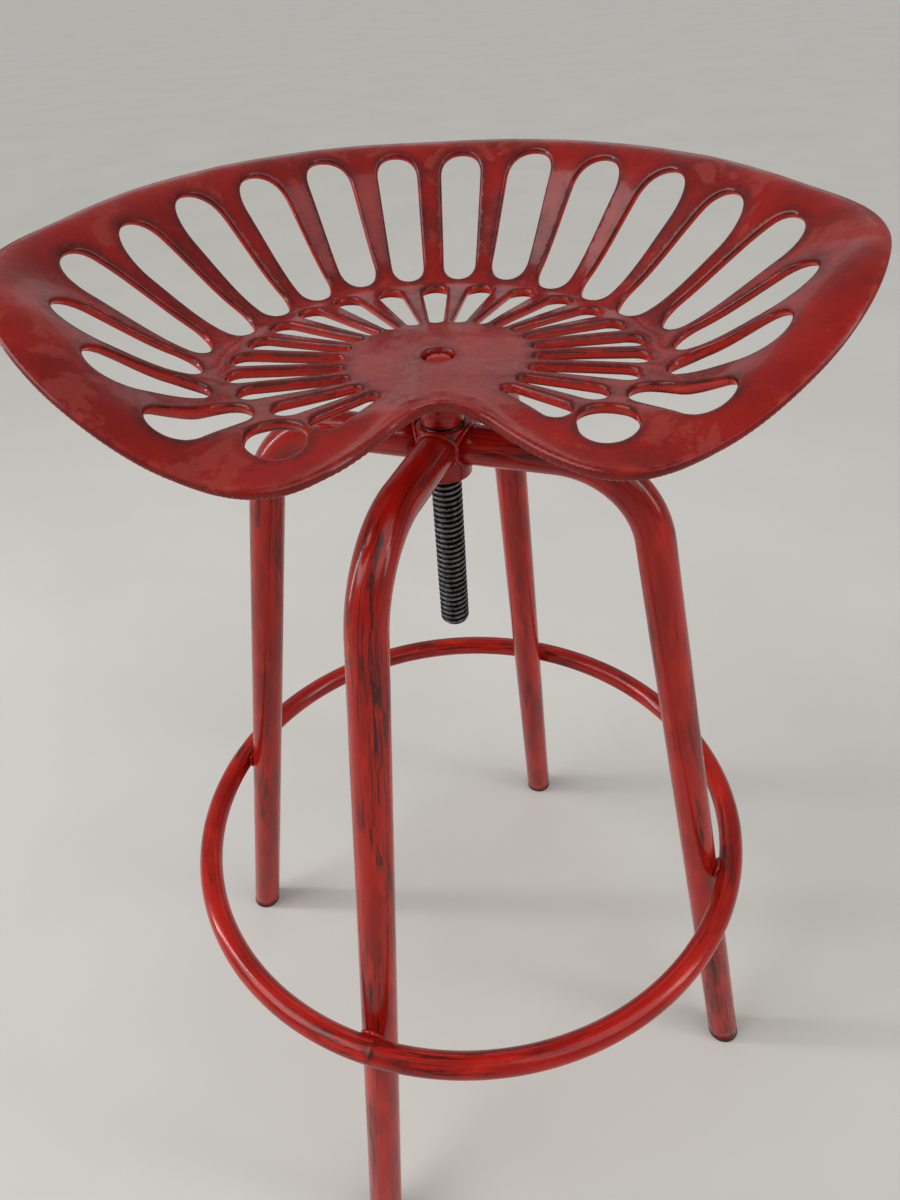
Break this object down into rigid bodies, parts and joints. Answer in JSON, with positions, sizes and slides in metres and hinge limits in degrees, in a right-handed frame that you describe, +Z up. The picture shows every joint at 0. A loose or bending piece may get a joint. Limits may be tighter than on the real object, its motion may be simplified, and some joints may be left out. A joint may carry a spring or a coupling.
{
  "type": "bar stool with footrest",
  "caption": "Height-adjustable stool: slotted tractor-style metal seat on a screw, four bent tube legs and a round tube footrest.",
  "frame": {"origin": "on the floor under the screw's axis, at the middle of the box", "axes": "+Z up along the screw, -Y the way the sitter faces, +X to the sitter's left"},
  "size_m": [0.482, 0.4712, 0.709],
  "materials": {
    "cast_red": "gloss antique red paint on a casting, brown-black patina in the recesses",
    "tube_red": "gloss antique red paint on steel tube, with dark brushed streaks",
    "spindle_steel": "black oiled steel thread",
    "zinc_steel": "plain zinc",
    "glide_plastic": "black moulded plastic"
  },
  "bodies": {
    "base": {"hub_sleeve": "tube_red", "hub_nut": "zinc_steel", "footrest_ring": "tube_red", "leg_left": "tube_red", "leg_back": "tube_red", "leg_right": "tube_red", "leg_front": "tube_red", "foot_glide_left": "glide_plastic", "foot_glide_back": "glide_plastic", "foot_glide_right": "glide_plastic", "foot_glide_front": "glide_plastic"},
    "lift": {"seat_washer": "zinc_steel"},
    "seat_assembly": {"seat": "cast_red", "seat_boss": "cast_red", "seat_bolt": "cast_red", "spindle": "spindle_steel", "seat_gusset_back_left": "cast_red", "seat_gusset_back_right": "cast_red", "seat_gusset_front_right": "cast_red", "seat_gusset_front_left": "cast_red"}
  },
  "joints": [
    {"name": "seat_lift", "type": "slide", "parent": "base", "child": "lift", "axis": [0, 0, 1], "range_m": [0, 0.101]},
    {"name": "seat_turn", "type": "hinge", "parent": "lift", "child": "seat_assembly", "pos_m": [0, 0, 0.6], "axis": [0, 0, 1], "range_deg": [0, 9000]}
  ],
  "couplings": [
    {"joint": "seat_lift", "follows": "seat_turn", "m_per_rad": 0.00063662}
  ]
}
